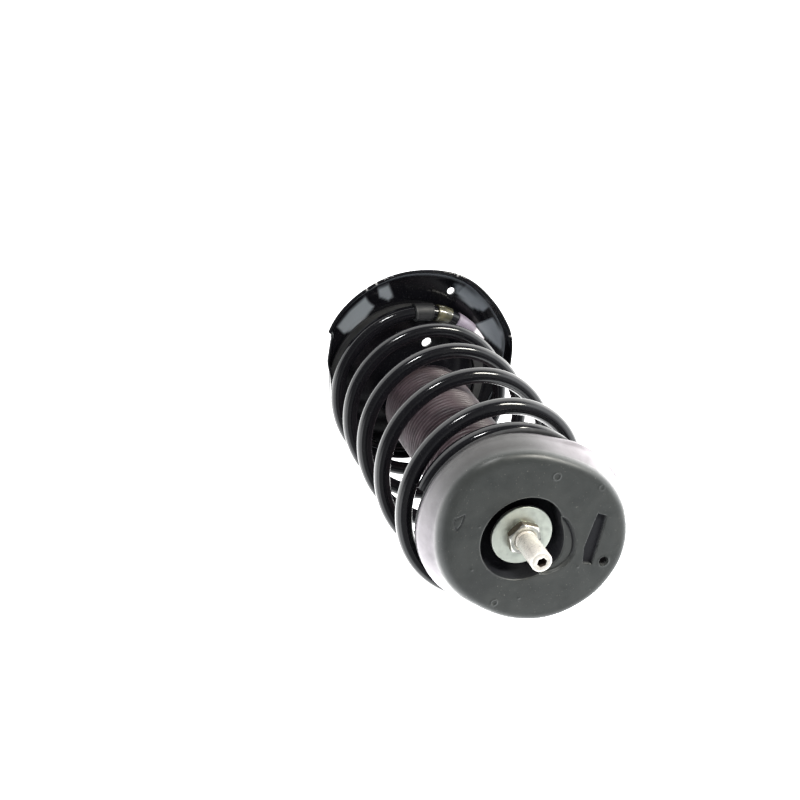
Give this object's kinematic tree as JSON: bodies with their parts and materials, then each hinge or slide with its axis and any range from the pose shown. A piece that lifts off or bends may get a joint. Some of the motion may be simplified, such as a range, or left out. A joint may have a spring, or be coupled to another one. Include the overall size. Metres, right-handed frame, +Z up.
{
  "type": "macpherson strut assembly",
  "caption": "Strut with a telescopic damper, offset coil spring on a flared pan, dust bellows, steering bearing and a thick rubber top mount with a threaded rod end.",
  "frame": {"origin": "middle of the strut tube's foot, on its flat lower face", "axes": "+Z up the damper's rod towards the body; +Y towards the wheel, the side the spring and pan stand out to; +X completes the right-handed frame"},
  "size_m": [0.1746, 0.1935, 0.4525],
  "materials": {
    "black_paint": "gloss",
    "spring_coat": "gloss",
    "rubber_moulded": "satin",
    "rubber_soft": "matt",
    "sleeve_rubber": "matt",
    "bright_steel": "machined",
    "chromed_rod": "polished",
    "zinc_plate": "zinc plated",
    "sintered_iron": "matt",
    "guide_alloy": "machined",
    "bearing_plastic": "matt",
    "ptfe_band": "matt",
    "foam_stop": "foam",
    "valve_brass": "machined"
  },
  "bodies": {
    "damper_body": {"strut_tube": "black_paint", "foot_cup": "black_paint", "depth_tab": "black_paint", "link_bracket": "black_paint", "hose_bracket": "black_paint", "lower_spring_pan": "black_paint", "pan_collar": "black_paint", "lower_insulator": "rubber_soft", "inner_cylinder": "bright_steel", "base_valve": "valve_brass", "rod_guide": "guide_alloy", "rod_seal": "rubber_soft", "tube_cap": "black_paint", "striker_cap": "black_paint", "coil_spring": "spring_coat", "coil_sleeve_long": "sleeve_rubber", "coil_sleeve_short": "sleeve_rubber", "coil_sleeve_end": "sleeve_rubber", "dust_bellows": "rubber_soft"},
    "spring_seat": {"upper_spring_seat": "black_paint", "upper_insulator": "rubber_soft", "bearing_lower_race": "bright_steel"},
    "ball_ring": {"bearing_cage": "bearing_plastic", "bearing_balls": "chromed_rod"},
    "top_mount": {"bearing_upper_race": "bright_steel", "mount_rubber": "rubber_moulded", "mount_backing_plate": "black_paint", "mount_core": "bright_steel", "mount_washer": "zinc_plate", "rod_nut": "zinc_plate", "piston_rod": "chromed_rod", "piston": "sintered_iron", "piston_band": "ptfe_band", "piston_nut": "bright_steel", "rebound_stop": "sleeve_rubber", "bump_stop": "foam_stop"}
  },
  "joints": [
    {"name": "rod_slide", "type": "slide", "parent": "damper_body", "child": "spring_seat", "axis": [0, 0, -1], "range_m": [0, 0.08], "stiffness_N_per_m": 17000, "springref_m": -0.06, "deforming": ["coil_spring", "coil_sleeve_long", "coil_sleeve_short", "coil_sleeve_end", "dust_bellows"]},
    {"name": "mount_turn", "type": "hinge", "parent": "spring_seat", "child": "top_mount", "pos_m": [0, 0, 0.41], "axis": [0, 0, 1], "continuous": true},
    {"name": "ball_ring_turn", "type": "hinge", "parent": "spring_seat", "child": "ball_ring", "pos_m": [0, 0, 0.4035], "axis": [0, 0, 1], "continuous": true}
  ],
  "couplings": [
    {"joint": "ball_ring_turn", "follows": "mount_turn", "ratio": 0.5}
  ]
}
